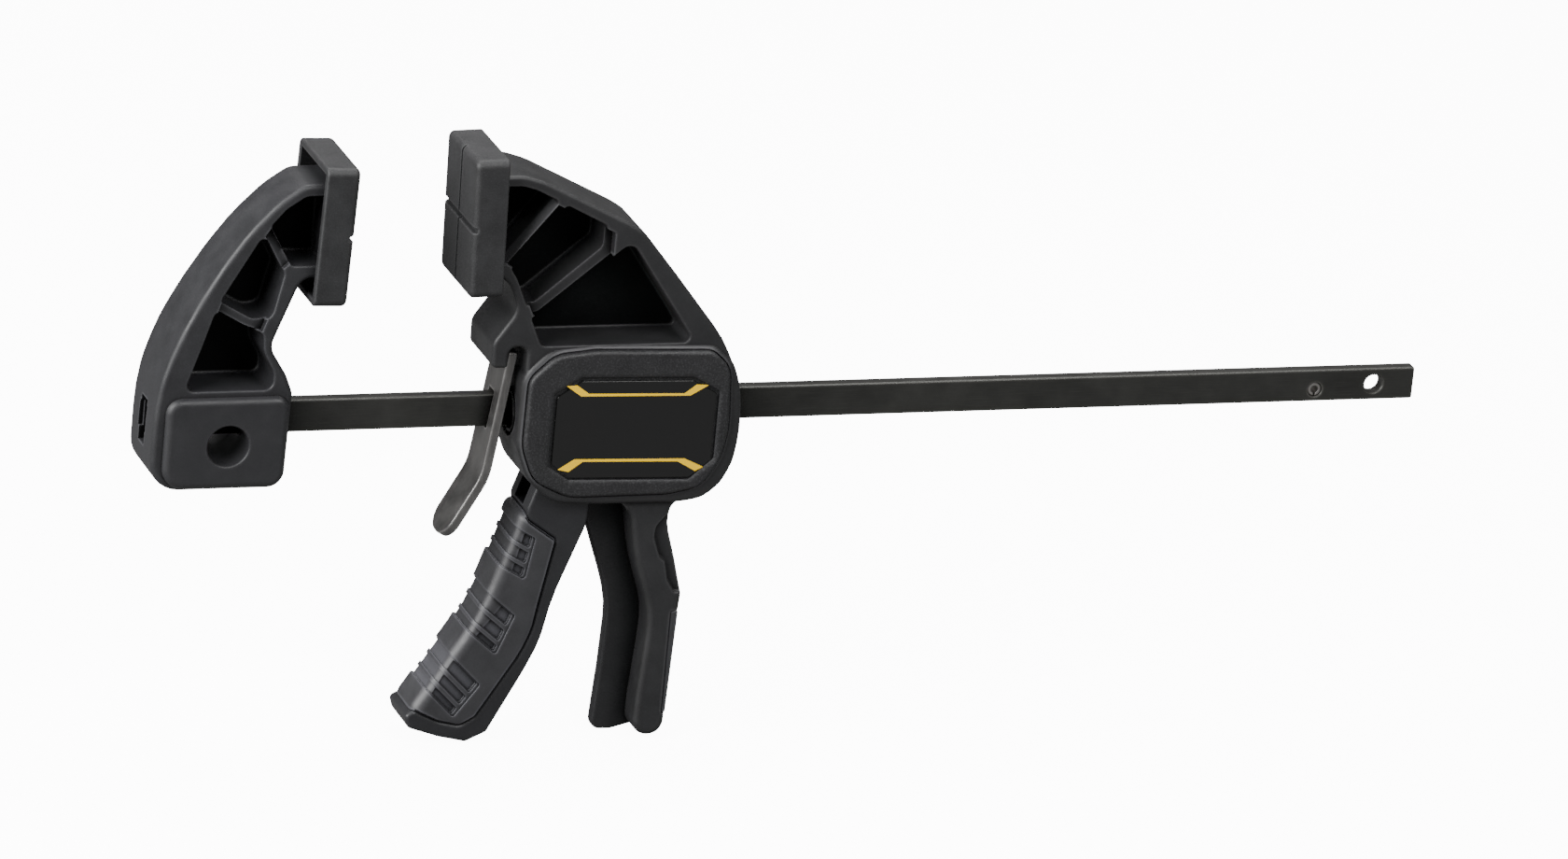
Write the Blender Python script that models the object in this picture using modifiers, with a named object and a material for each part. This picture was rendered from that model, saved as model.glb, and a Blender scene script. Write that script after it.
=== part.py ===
"""One-handed trigger bar clamp, built from named sub-parts.

Design frame in millimetres: X runs along the bar from the fixed jaw towards the free end,
Z is up with the bar's axis at zero, Y is across the clamp with the bar's middle at zero.
The finished model is shifted so that the origin sits under the middle of the clamp.
"""
import math

import bmesh
import bpy
from mathutils import Vector

# ---------------------------------------------------------------- driving sizes, mm
MM = 0.001
MIDDLE_X = 126.0            # design X of the clamp's mid length
BAR_RAISE = 143.8           # height of the bar's axis above the lowest point

BAR_HEIGHT = 14.0
BAR_THICK = 6.0
BAR_START = -146.0
BAR_END = 404.0
BAR_EDGE = 0.9
END_HOLE_X = 385.8
END_HOLE_R = 4.0

STOP_X = 359.4
STOP_Z = -1.8
STOP_R = 3.1

PAD_WIDTH = 42.0
PAD_HEIGHT = 59.4
PAD_THICK = 14.2
FIXED_PAD_Z = 82.6          # middle of each pad above the bar's axis
MOVING_PAD_Z = 84.8
PAD_TOE_IN = 1.6
FIXED_FACE_X = -75.0
MOVING_FACE_X = -24.8

PIVOT_X = 24.0
PIVOT_Z = 18.0
PIVOT_R = 2.5

LEVER_TOP = (0.6, 28.4)
LEVER_THICK = 4.0
LEVER_WIDTH = 20.0

BODY_HALF = 17.5            # half width of the sliding housing
SEAT_HALF = 14.5            # half width left between the two cover seats
COVER_OUT = 19.5            # outer face of a cover
COVER_IN = 14.8             # inner face of a cover
BADGE_FLOOR = 17.7

GAP = 0.3

# ---------------------------------------------------------------- start clean
for old in list(bpy.data.objects):
    bpy.data.objects.remove(old, do_unlink=True)

PARTS = bpy.data.collections.new("clamp_parts")
bpy.context.scene.collection.children.link(PARTS)
CUTTERS = bpy.data.collections.new("cutters")
bpy.context.scene.collection.children.link(CUTTERS)


# ---------------------------------------------------------------- materials
def material(name, colour, roughness, metallic=0.0):
    """Return one Principled material."""
    mat = bpy.data.materials.new(name)
    mat.use_nodes = True
    shader = mat.node_tree.nodes["Principled BSDF"]
    shader.inputs["Base Color"].default_value = (*colour, 1.0)
    shader.inputs["Roughness"].default_value = roughness
    shader.inputs["Metallic"].default_value = metallic
    mat.diffuse_color = (*colour, 1.0)
    return mat


# ---------------------------------------------------------------- outline helpers
def winding(corners):
    """Return +1 for a counter-clockwise outline and -1 for a clockwise one."""
    area = sum(corners[i - 1][0] * corners[i][1] - corners[i][0] * corners[i - 1][1]
               for i in range(len(corners)))
    return 1.0 if area > 0 else -1.0


def rounded(corners, steps=4, least=0.0):
    """Turn (x, z, radius) corners into outline points with an arc at each corner.

    An outward corner gets at least the radius that its rounded rim needs.
    """
    count = len(corners)
    way = winding(corners)
    points = []
    for index in range(count):
        here = Vector(corners[index][:2])
        back = Vector(corners[index - 1][:2]) - here
        ahead = Vector(corners[(index + 1) % count][:2]) - here
        turn = back.angle(ahead)
        radius = corners[index][2]
        outward = (back.y * ahead.x - back.x * ahead.y) * way > 0
        if outward:
            radius = max(radius, least)
        reach = radius / math.tan(turn / 2.0)
        limit = 0.48 * min(back.length, ahead.length)
        if radius <= 0.0 or turn > math.radians(178.0):
            points.append(here)
            continue
        if reach > limit:
            reach = limit
            radius = reach * math.tan(turn / 2.0)
        start = here + back.normalized() * reach
        finish = here + ahead.normalized() * reach
        middle = here + (back.normalized() + ahead.normalized()).normalized() * (
            radius / math.sin(turn / 2.0))
        sweep = (start - middle).angle_signed(finish - middle)
        pieces = max(1, int(math.ceil(abs(sweep) / math.radians(90.0) * steps)))
        for piece in range(pieces + 1):
            spin = -sweep * piece / pieces
            arm = start - middle
            points.append(middle + Vector((
                arm.x * math.cos(spin) - arm.y * math.sin(spin),
                arm.x * math.sin(spin) + arm.y * math.cos(spin))))
    return points


def to_mesh(source, name):
    """Freeze a curve or modified object into a welded mesh object in design space."""
    graph = bpy.context.evaluated_depsgraph_get()
    graph.update()
    mesh = bpy.data.meshes.new_from_object(source.evaluated_get(graph))
    mesh.transform(source.matrix_world)
    bpy.data.objects.remove(source, do_unlink=True)
    work = bmesh.new()
    work.from_mesh(mesh)
    bmesh.ops.remove_doubles(work, verts=work.verts, dist=2e-6)
    bmesh.ops.recalc_face_normals(work, faces=work.faces)
    work.to_mesh(mesh)
    work.free()
    mesh.name = name
    made = bpy.data.objects.new(name, mesh)
    PARTS.objects.link(made)
    return made


def slab(name, corners, low_y, high_y, edge=0.0, steps=4, edge_steps=1):
    """Extrude a side outline across the clamp, with its rim edges rounded by edge."""
    flat = bpy.data.curves.new(name, "CURVE")
    flat.dimensions = "2D"
    flat.fill_mode = "BOTH"
    flat.extrude = ((high_y - low_y) / 2.0 - edge) * MM
    if edge > 0.0:
        flat.bevel_depth = edge * MM
        flat.bevel_resolution = edge_steps
        flat.offset = -edge * MM
    points = rounded(corners, steps, edge * 1.08)
    spline = flat.splines.new("POLY")
    spline.points.add(len(points) - 1)
    for slot, point in zip(spline.points, points):
        slot.co = (point.x * MM, point.y * MM, 0.0, 1.0)
    spline.use_cyclic_u = True
    holder = bpy.data.objects.new(name, flat)
    holder.rotation_euler = (math.radians(90.0), 0.0, 0.0)
    holder.location = (0.0, (low_y + high_y) / 2.0 * MM, 0.0)
    PARTS.objects.link(holder)
    bpy.context.view_layer.update()
    return to_mesh(holder, name)


def block(name, low, high, edge=0.0, segments=1):
    """Axis-aligned box between two corners, edges rounded by edge."""
    bpy.ops.mesh.primitive_cube_add(size=1.0)
    cube = bpy.context.object
    cube.name = name
    cube.scale = [(b - a) * MM for a, b in zip(low, high)]
    cube.location = [(a + b) / 2.0 * MM for a, b in zip(low, high)]
    bpy.ops.object.transform_apply(location=True, rotation=True, scale=True)
    if edge > 0.0:
        bevel = cube.modifiers.new("edges", "BEVEL")
        bevel.width = edge * MM
        bevel.segments = segments
        bevel.limit_method = "ANGLE"
    adopt(cube)
    bpy.context.view_layer.update()
    return to_mesh(cube, name)


def rod(name, centre, radius, length, axis="Y", sides=24):
    """Cylinder centred on a point, along one axis."""
    turn = {"X": (0.0, 90.0, 0.0), "Y": (90.0, 0.0, 0.0), "Z": (0.0, 0.0, 0.0)}[axis]
    bpy.ops.mesh.primitive_cylinder_add(
        vertices=sides, radius=radius * MM, depth=length * MM,
        location=[v * MM for v in centre], rotation=[math.radians(v) for v in turn])
    made = bpy.context.object
    made.name = name
    adopt(made)
    bpy.context.view_layer.update()
    return to_mesh(made, name)


def adopt(item):
    """Move a fresh object into the parts collection only."""
    for home in list(item.users_collection):
        home.objects.unlink(item)
    PARTS.objects.link(item)


def combine(base, others, operation):
    """Apply one exact Boolean with each of the other meshes in turn."""
    for other in others:
        for home in list(other.users_collection):
            home.objects.unlink(other)
        CUTTERS.objects.link(other)
        other.hide_render = True
        other.display_type = "WIRE"
        step = base.modifiers.new("step", "BOOLEAN")
        step.operation = operation
        step.solver = "EXACT"
        step.object = other
        bpy.context.view_layer.objects.active = base
        base.select_set(True)
        bpy.ops.object.modifier_apply(modifier=step.name)
        bpy.data.objects.remove(other, do_unlink=True)
    return base


def cut(base, *others):
    return combine(base, others, "DIFFERENCE")


def join(base, *others):
    return combine(base, others, "UNION")


def turned(item, pivot, degrees):
    """Turn a mesh about a cross-clamp axis through (x, z), positive as seen from +Y."""
    angle = math.radians(degrees)
    for vertex in item.data.vertices:
        dx = vertex.co.x - pivot[0] * MM
        dz = vertex.co.z - pivot[1] * MM
        vertex.co.x = pivot[0] * MM + dx * math.cos(angle) + dz * math.sin(angle)
        vertex.co.z = pivot[1] * MM - dx * math.sin(angle) + dz * math.cos(angle)
    return item


def finish(item, mat, axis_point=None, smooth_angle=35.0):
    """Give a sub-part its material, its origin and its place in the final frame."""
    item.data.materials.clear()
    item.data.materials.append(mat)
    shift = Vector((-MIDDLE_X, 0.0, BAR_RAISE)) * MM
    if axis_point is None:
        box = [Vector(corner) for corner in item.bound_box]
        home = sum(box, Vector()) / 8.0
    else:
        home = Vector(axis_point) * MM
    for vertex in item.data.vertices:
        vertex.co -= home
    item.location = home + shift
    work = bmesh.new()
    work.from_mesh(item.data)
    bmesh.ops.remove_doubles(work, verts=work.verts, dist=1e-6)
    bmesh.ops.dissolve_degenerate(work, edges=work.edges, dist=1e-6)
    work.to_mesh(item.data)
    work.free()
    for face in item.data.polygons:
        face.use_smooth = True
    bpy.context.view_layer.objects.active = item
    bpy.ops.object.select_all(action="DESELECT")
    item.select_set(True)
    bpy.ops.object.shade_smooth_by_angle(angle=math.radians(smooth_angle))
    return item


# ---------------------------------------------------------------- palette
STEEL_BLACK = material("blackened_steel", (0.030, 0.030, 0.029), 0.42, 0.85)
STEEL_BARE = material("bare_steel", (0.30, 0.29, 0.28), 0.38, 1.0)
STEEL_ZINC = material("zinc_steel", (0.46, 0.45, 0.43), 0.35, 1.0)
SPRING_STEEL = material("spring_steel", (0.36, 0.36, 0.37), 0.30, 1.0)
NYLON = material("filled_nylon", (0.040, 0.040, 0.042), 0.55)
NYLON_COVER = material("cover_nylon", (0.036, 0.036, 0.038), 0.58)
PAD_RUBBER = material("pad_rubber", (0.052, 0.052, 0.054), 0.62)
GRIP_RUBBER = material("grip_rubber", (0.026, 0.026, 0.029), 0.50)
BADGE = material("badge_gloss", (0.012, 0.012, 0.012), 0.18)


# ---------------------------------------------------------------- bar and its stop
def build_bar():
    bar = block("bar", (BAR_START, -BAR_THICK / 2, -BAR_HEIGHT / 2),
                (BAR_END, BAR_THICK / 2, BAR_HEIGHT / 2), BAR_EDGE, 2)
    cut(bar,
        rod("end_hole", (END_HOLE_X, 0, 0), END_HOLE_R, 20, sides=32),
        rod("stop_hole", (STOP_X, 0, STOP_Z), STOP_R + 0.05, 20, sides=28),
        rod("jaw_hole", (-138.0, 0, 0), 2.6, 20, sides=20))
    return finish(bar, STEEL_BLACK)


def build_stop():
    pin = rod("stop_pin", (STOP_X, 2.9, STOP_Z), STOP_R, 10.2, sides=28)
    cut(pin, rod("bore", (STOP_X, 2.9, STOP_Z), 1.7, 14, sides=20),
        block("slit", (STOP_X - 0.4, -6, STOP_Z - 6), (STOP_X + 0.4, 12, STOP_Z)))
    return finish(pin, STEEL_ZINC)


def build_jaw_pin():
    return finish(rod("jaw_pin", (-138.0, 4.6, 0), 2.5, 25.0, sides=20), STEEL_ZINC)


# ---------------------------------------------------------------- fixed jaw
FIXED_OUTER = [
    (-80.4, 103.2, 1.5), (-95.2, 103.2, 9), (-105.4, 96, 24), (-117, 84, 50),
    (-127, 70, 60), (-136, 55, 60), (-143, 41.2, 60), (-148.4, 27, 60),
    (-151.4, 14, 50), (-152, 0, 60), (-152, -26, 15), (-95, -26, 7),
    (-94.2, 15, 4), (-97.2, 22.5, 12), (-105.2, 34.8, 8), (-93.6, 64.0, 7), (-80.4, 64.0, 1.5)]

# the webs of both jaws lie behind the middle, so the front pockets are the deep ones
WEB_FRONT, WEB_REAR = 5.2, 8.6

FIXED_POCKETS = [
    [(-84.5, 98.6, 1), (-94, 98.6, 6), (-102, 93.4, 8), (-108.4, 86.2, 2.5),
     (-98.6, 69.3, 2.5), (-84.5, 69.3, 1)],
    [(-110.8, 83.4, 2.5), (-101.2, 66.5, 4), (-105.6, 47.2, 5), (-113, 46.4, 6),
     (-128, 54.6, 2.5)],
    [(-129.2, 51.4, 2), (-116, 44, 12), (-108.6, 41.6, 4), (-107.8, 33, 7),
     (-102.8, 24.2, 7), (-102.8, 16.8, 4), (-140.2, 16.8, 3)]]


def build_fixed_jaw():
    jaw = slab("fixed_jaw", FIXED_OUTER, -16.4, 16.4, 2.0, 4, 2)
    boss = [(-147.4, 14.2, 6), (-147.4, -25.0, 9), (-95.5, -25.0, 6.5), (-95.5, 14.2, 5)]
    join(jaw, slab("boss", boss, -19, 19, 2.3, 4, 2))
    for number, pocket in enumerate(FIXED_POCKETS):
        cut(jaw, slab("front_pocket%d" % number, pocket, -21.0, WEB_FRONT, 0.0, 3),
            slab("rear_pocket%d" % number, pocket, WEB_REAR, 21.0, 0.0, 3))
    for side in (-1, 1):
        low, high = sorted((0, side * 14))
        taper = block("taper", (-170, low, -14), (-60, high, 100))
        angle = math.radians(3.1) * side
        for vertex in taper.data.vertices:
            y, z = vertex.co.y, vertex.co.z
            vertex.co.y = y * math.cos(angle) - z * math.sin(angle) + side * 16.5 * MM
            vertex.co.z = y * math.sin(angle) + z * math.cos(angle) + 38 * MM
        cut(jaw, taper)
    cut(jaw,
        block("channel", (-146.6, -3.2, -7.2), (-90, 3.2, 7.2)),
        block("rear_slot", (-160, -4.0, -10.2), (-146.0, 4.0, 9.2)),
        block("rear_step", (-160, -4.6, -4.6), (-150.2, 5.4, 6.6)),
        rod("hang_hole", (-120.6, -12.0, -6.3), 8.7, 36, sides=32),
        rod("hang_hole_rear", (-120.6, 12.0, -6.3), 8.4, 36, sides=32),
        rod("pin_bore", (-138.0, 5.0, 0), 2.6, 28.6, sides=20))
    return finish(jaw, NYLON)


# ---------------------------------------------------------------- clamping pads
def build_pad(name, face_x, middle_z, side):
    """side is +1 when the clamping face looks towards +X."""
    back_x = face_x - side * PAD_THICK
    low_x, high_x = sorted((face_x, back_x))
    low_z = middle_z - PAD_HEIGHT / 2
    high_z = middle_z + PAD_HEIGHT / 2
    half = PAD_WIDTH / 2
    pad = block(name, (low_x, -half, low_z), (high_x, half, high_z), 2.2, 3)
    inner = sorted((face_x - side * 4.6, back_x - side * 5))
    cut(pad, block("cup", (inner[0], -half + 3.2, low_z + 3.4),
                   (inner[1], half - 3.2, high_z - 3.4), 1.2, 1))
    groove = block("groove", (-1.0, -half - 5, -1.0), (1.0, half + 5, 1.0))
    for vertex in groove.data.vertices:
        x, z = vertex.co.x, vertex.co.z
        vertex.co.x = (x - z) * 0.95 + face_x * MM
        vertex.co.z = (x + z) * 0.95 + middle_z * MM
    upright = sorted((face_x - side * 0.9, face_x + side * 3))
    cut(pad, groove, block("line", (upright[0], -0.9, low_z - 4), (upright[1], 0.9, high_z + 4)))
    turned(pad, (face_x, middle_z), side * PAD_TOE_IN)
    return finish(pad, PAD_RUBBER)


# ---------------------------------------------------------------- sliding body
BODY_OUTER = [
    (3.2, -11, 14), (8.8, -26.0, 16), (20.8, -36.6, 16), (42, -37.8, 60), (76, -38.0, 30),
    (86, -36.4, 12), (93.4, -30.2, 12), (98.0, -21, 20), (99.6, -9, 40), (99.4, 3, 50),
    (97.6, 16, 40), (89.2, 33.2, 60), (66.0, 62.0, 90), (50.2, 81.0, 14), (43.6, 84.9, 14),
    (6, 103.4, 24), (-3, 106.2, 12), (-19.4, 106.2, 1.5), (-19.4, 63.5, 1.5),
    (-10.5, 63.5, 4), (-5, 58.8, 10), (-1.0, 48.0, 8), (-10.5, 34.2, 6), (-10.3, 23.0, 2.6),
    (-3.3, 23.0, 1.2), (-3.3, 31.9, 3.4), (4.0, 31.9, 3.4)]

ARM_POCKET = [
    (-14.6, 101.8, 1), (-3.5, 101.8, 8), (4.6, 99.0, 20), (41, 80.6, 8), (45.6, 76.4, 8),
    (71.2, 39.8, 8), (76.0, 32.2, 5), (10.2, 32.2, 3), (-2.4, 61.4, 8), (-7.4, 68.4, 3),
    (-14.6, 68.4, 1)]

COVER_OUTLINE = [
    (5.4, 19, 9), (16.5, 29.4, 12), (34, 31, 10), (84, 29.6, 8), (92.6, 22, 12),
    (94.4, -6, 40), (91.6, -19, 20), (84.4, -30.6, 12), (70, -33.6, 20), (27, -33.8, 16),
    (11, -26.2, 14), (5, -11, 20)]

CAVITY = [
    (16.2, 20, 3), (17.8, 26.8, 3), (76, 26.8, 4), (90, 8, 3), (90, -10, 3),
    (78, -26, 3), (56, -31.8, 3), (16.2, -31.8, 2)]

HANDLE_FLANGE = [
    (48, -27, 3), (49.4, -36.6, 5), (56.2, -43, 10), (59.5, -62, 60), (68.0, -87, 34),
    (68.0, -98, 50), (65.9, -128, 60), (65.7, -142.3, 6.4), (79.0, -142.3, 6.4),
    (79.9, -102, 90), (81.6, -79.6, 4), (77.2, -63, 60), (72.6, -48, 20), (73.6, -40.2, 6),
    (80.6, -35.4, 5), (82, -27, 3)]

HANDLE_WEB = [
    (38, -34, 1), (40.2, -48, 20), (50.0, -75, 60), (53.7, -88, 40), (52.8, -115, 90),
    (51.0, -143.6, 5), (60, -143.8, 8), (71, -141, 1), (71, -34, 1)]

SCREWS = [(12.6, 19.2), (85.6, 20.4), (83.4, -24.6), (12.5, -17.0)]


def grown(corners, amount):
    """Move every corner of an outline outwards from its middle line by amount."""
    count = len(corners)
    sign = winding(corners)
    result = []
    for index in range(count):
        here = Vector(corners[index][:2])
        before = (here - Vector(corners[index - 1][:2])).normalized()
        after = (Vector(corners[(index + 1) % count][:2]) - here).normalized()
        normal_a = Vector((before.y, -before.x)) * sign
        normal_b = Vector((after.y, -after.x)) * sign
        mid = (normal_a + normal_b).normalized()
        push = amount / max(0.35, mid.dot(normal_a))
        moved = here + mid * push
        result.append((moved.x, moved.y, max(0.0, corners[index][2] + amount)))
    return result


def build_body():
    body = slab("slider_body", BODY_OUTER, -16.0, 16.0, 1.6, 3, 1)
    housing = [
        (3.2, 20, 12), (14, 30.6, 12), (38, 32.2, 20), (86, 31.0, 8), (94.6, 22.5, 10),
        (98.0, 13, 30), (99.4, 3, 50), (99.6, -9, 40), (98.0, -21, 20), (93.4, -30.2, 12),
        (86, -36.4, 12), (76, -38.0, 30), (42, -37.8, 60), (20.8, -36.6, 16), (8.8, -26.0, 16),
        (3.2, -11, 14)]
    join(body, slab("housing", housing, -BODY_HALF, BODY_HALF, 1.8, 3, 1))
    cut(body, slab("front_pocket", ARM_POCKET, -20.0, WEB_FRONT, 0.0, 3),
        slab("rear_pocket", ARM_POCKET, WEB_REAR, 20.0, 0.0, 3))
    join(body,
         slab("rib_low", [(2.2, 45.6, 0), (8.6, 46.2, 4), (38.0, 70.6, 4), (37.6, 86, 0),
                          (34.4, 86, 0), (34.4, 73.4, 4), (6.8, 49.8, 4), (0.6, 49.2, 0)],
              -11.4, 12.6, 0.0, 3),
         slab("rib_high", [(-9, 63.0, 0), (18.0, 95.4, 0), (14.4, 95.9, 0), (-9, 67.4, 0)],
              -8.0, 12.0, 0.0, 3),
         slab("rib_corner", [(37.2, 69.9, 0), (46.6, 77.8, 0), (44.0, 81.0, 0),
                             (41.0, 82.6, 0), (37.2, 84.4, 0)], -15.9, 15.9, 0.0, 3))
    join(body, slab("flange", HANDLE_FLANGE, -15.0, 15.0, 2.0, 3, 1))
    join(body, slab("web", HANDLE_WEB, -2.8, 2.8, 1.0, 3))
    # opening for the strip on the palm side of the handle
    cut(body, block("strip_seat", (77.2, -20, -132.6), (84, 20, -86.6)))
    # thumb hollows near the top of the handle
    hollow = [(86, -42, 0), (71.4, -44, 3), (67.6, -49, 4), (67.6, -54, 4), (70.4, -62.6, 4),
              (73.0, -65, 2), (74.8, -73, 4), (78.0, -78.6, 1), (90, -80, 0)]
    for side in (-1, 1):
        low, high = sorted((side * 12.8, side * 20.0))
        cut(body, slab("hollow", hollow, low, high, 0.0, 3))
    for side in (-1, 1):
        low, high = sorted((side * SEAT_HALF, side * 24.0))
        cut(body, slab("seat", COVER_OUTLINE, low, high, 0.0, 3))
    cut(body,
        slab("cavity", CAVITY, -15.5, 15.5, 0.0, 3),
        block("trigger_mouth", (13.6, -13.4, -45.0), (54.8, 13.4, -27.5)),
        block("channel", (-30, -3.5, -7.5), (130, 3.5, 7.5)),
        rod("spring_seat", (7.0, 0, 0), 11.6, 14.0, "X", 24))
    for x, z in SCREWS:
        cut(body, rod("hole", (x, 0, z), 1.85, 60, sides=12))
    # keep the web whole where the mouth was cut through its root
    join(body, slab("web_root", [(38.6, -36.9, 0), (56, -36.9, 0), (56, -46, 0),
                                 (39.8, -46, 0)], -2.8, 2.8))
    return finish(body, NYLON)


def build_cover(name, side):
    inner, outer = COVER_IN, COVER_OUT
    low, high = sorted((side * inner, side * outer))
    cover = slab(name, grown(COVER_OUTLINE, -GAP), low, high, 1.2, 3, 1)
    cut(cover, rod("socket", (PIVOT_X, side * 15.0, PIVOT_Z), PIVOT_R + 0.1, 4.4, sides=20))
    for x, z in SCREWS:
        if side > 0:
            cut(cover, rod("hole", (x, side * 17, z), 1.85, 12, sides=16),
                rod("sink", (x, side * 20.5, z), 3.5, 7.0, sides=20))
        else:
            cut(cover, rod("pilot", (x, side * 14.0, z), 1.6, 8.4, sides=16))
    if side > 0:
        return finish(cover, NYLON_COVER)
    recess = [(27.2, 20.6, 2), (77.2, 19.4, 2), (89.4, 12.4, 2), (89.4, -18.4, 2),
              (78.6, -28.2, 2), (25.8, -26.8, 2), (15.6, -20.0, 2), (15.6, 12.8, 2)]
    low, high = sorted((side * BADGE_FLOOR, side * 24.0))
    cut(cover, slab("badge_seat", grown(recess, -0.8), low, high))
    return finish(cover, NYLON_COVER)


def build_badge():
    plate = [(28.4, 17.6, 1), (76.6, 16.6, 1), (87.0, 10.8, 1), (87.0, -18.6, 1),
             (78.4, -25.8, 1), (26.2, -24.6, 1), (18.2, -18.4, 1), (18.2, 11.0, 1)]
    return finish(slab("badge", plate, -BADGE_FLOOR - 1.25, -BADGE_FLOOR - 0.05, 0.25, 2), BADGE)


def build_screw(number, x, z):
    screw = rod("cover_screw_%d" % number, (x, 0.9, z), 1.5, 34.2, sides=16)
    head = rod("head", (x, 18.1, z), 3.1, 1.8, sides=20)
    join(screw, head)
    for spin in (0.0, 90.0):
        slot = block("slot", (x - 1.9, 18.2, z - 0.4), (x + 1.9, 20, z + 0.4))
        cut(screw, turned(slot, (x, z), 45.0 + spin))
    return finish(screw, STEEL_ZINC)


def build_insert():
    strip = [(77.5, -86.9, 0.8), (77.5, -132.3, 0.8), (79.3, -132.3, 0.8), (80.9, -86.9, 0.8)]
    return finish(slab("handle_insert", strip, -14.6, 14.6, 0.6, 3, 2), GRIP_RUBBER)


# ---------------------------------------------------------------- drive
TRIGGER_RIM = [
    (15.6, -29.5, 2), (10.8, -44, 6), (18.4, -49.4, 1), (25.6, -54.4, 1), (20.4, -82.8, 30),
    (18.6, -94.4, 20), (14.4, -104.4, 30), (7.4, -115.6, 30), (-2.8, -132.0, 4),
    (-9.4, -135.8, 4), (-18.8, -133.6, 10), (-29.4, -128.4, 2), (-33.2, -130.4, 2),
    (-31.6, -136.0, 3), (-18, -140.6, 20), (-6.0, -143.2, 3), (2.8, -139.2, 3), (16.4, -113.2, 60), (22.4, -100.2, 30), (26.6, -80, 60),
    (38.4, -48, 20), (39.2, -29.5, 1)]

TRIGGER_CORE = [
    (16.4, -30.4, 1), (13.8, -45, 10), (8.4, -60, 40), (1.0, -78, 40), (-6.0, -93, 40),
    (-21.6, -117.6, 20), (-26.4, -125, 3), (-26.4, -133, 3), (-7, -139.4, 3), (13.6, -113, 60), (20.2, -98, 30),
    (24.8, -80, 60), (36.4, -48, 20), (37.4, -30.4, 1)]

GRIP_OUTER = [
    (9.4, -42.4, 4), (34.0, -44.0, 6), (24.4, -80, 40), (20, -99, 40), (13, -114, 60),
    (-2.6, -139.0, 7), (-34.6, -133.4, 6.1), (-8.9, -93.0, 60), (-1.9, -77.1, 60)]

CHANNEL_CUT = [
    (20.4, -26, 0), (17.6, -46, 6), (11.4, -62, 30), (2.4, -86, 30), (-5.0, -99, 30),
    (-13.8, -114, 3), (0, -121, 3), (40, -121, 0), (60, -26, 0)]


def build_trigger():
    trigger = slab("trigger", TRIGGER_RIM, -12.2, 12.2, 1.6, 3, 1)
    join(trigger, slab("core", TRIGGER_CORE, -9.9, 9.9, 3.0, 3, 2))
    cut(trigger, slab("channel", CHANNEL_CUT, -5.6, 5.6, 0.0, 3),
        block("neck_mouth", (4, -5.6, -41.0), (24, 5.6, -26)))
    for side in (-1, 1):
        low, high = sorted((side * 4.2, side * 8.4))
        arm = [(18.6, -34, 1), (17.6, 24.4, 6.4), (30.4, 24.4, 6.4),
               (30.4, 12, 6), (29.8, -6.6, 2), (33.5, -9.0, 2), (33.5, -15.0, 2),
               (30.2, -18, 2), (32.0, -34, 1)]
        join(trigger, slab("arm", arm, low, high, 0.0, 4))
    cut(trigger, rod("pivot_bore", (PIVOT_X, 0, PIVOT_Z), PIVOT_R + 0.1, 40, sides=24))
    return finish(trigger, NYLON, (PIVOT_X, 0, PIVOT_Z))


def build_grip():
    grip = slab("trigger_grip", GRIP_OUTER, -13.0, 13.0, 5.2, 3, 2)
    cut(grip, slab("core", grown(TRIGGER_CORE, 0.2), -10.1, 10.1, 2.7, 3, 2))
    cut(grip, slab("rim", grown(TRIGGER_RIM, 0.2), -20, 20, 0.0, 3))
    # finger ribs: short grooves across the front, in three groups
    path = [((7.7, -51.0), (3.8, -62.6)), ((-2.8, -81.0), (-7.4, -91.6)),
            ((-17.4, -106.6), (-23.8, -116.6))]
    for (x0, z0), (x1, z1) in path:
        count = 3
        for number in range(count):
            share = number / (count - 1)
            x = x0 + (x1 - x0) * share
            z = z0 + (z1 - z0) * share
            lean = math.degrees(math.atan2(x0 - x1, z0 - z1))
            notch = block("notch", (x - 3.4, -20, z - 1.9), (x + 0.9, 20, z + 1.9))
            cut(grip, turned(notch, (x, z), -lean))
    return finish(grip, GRIP_RUBBER, (PIVOT_X, 0, PIVOT_Z))


def build_pivot():
    return finish(rod("trigger_pin", (PIVOT_X, 0, PIVOT_Z), PIVOT_R, 33.6, sides=24),
                  STEEL_ZINC)


def build_drive_plate(name, low_x):
    plate = block(name, (low_x, -10, -19), (low_x + 3.0, 10, 19), 0.5, 1)
    cut(plate, block("window", (low_x - 5, -3.3, -7.3), (low_x + 8, 3.3, 7.3)))
    return finish(plate, STEEL_BARE)


def coil(name, start_x, end_x, turns, radius, wire, mat):
    """Compression spring along the bar, as a thin wire swept along a helix."""
    path = bpy.data.curves.new(name, "CURVE")
    path.dimensions = "3D"
    path.bevel_depth = wire * MM
    path.bevel_resolution = 1
    path.use_fill_caps = True
    steps = int(turns * 12)
    spline = path.splines.new("POLY")
    spline.points.add(steps)
    for step in range(steps + 1):
        share = step / steps
        angle = 2.0 * math.pi * turns * share
        spline.points[step].co = ((start_x + (end_x - start_x) * share) * MM,
                                  radius * math.cos(angle) * MM,
                                  radius * math.sin(angle) * MM, 1.0)
    holder = bpy.data.objects.new(name, path)
    PARTS.objects.link(holder)
    bpy.context.view_layer.update()
    return finish(to_mesh(holder, name), mat)


# ---------------------------------------------------------------- release lever
LEVER_SIDE = [
    (-1.4, 28.2, 1.5), (-8.8, -26.4, 6), (-23.4, -53.05, 0.8), (-20.0, -54.95, 0.8),
    (-4.8, -27.4, 6), (2.6, 27.7, 1.5)]


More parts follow.
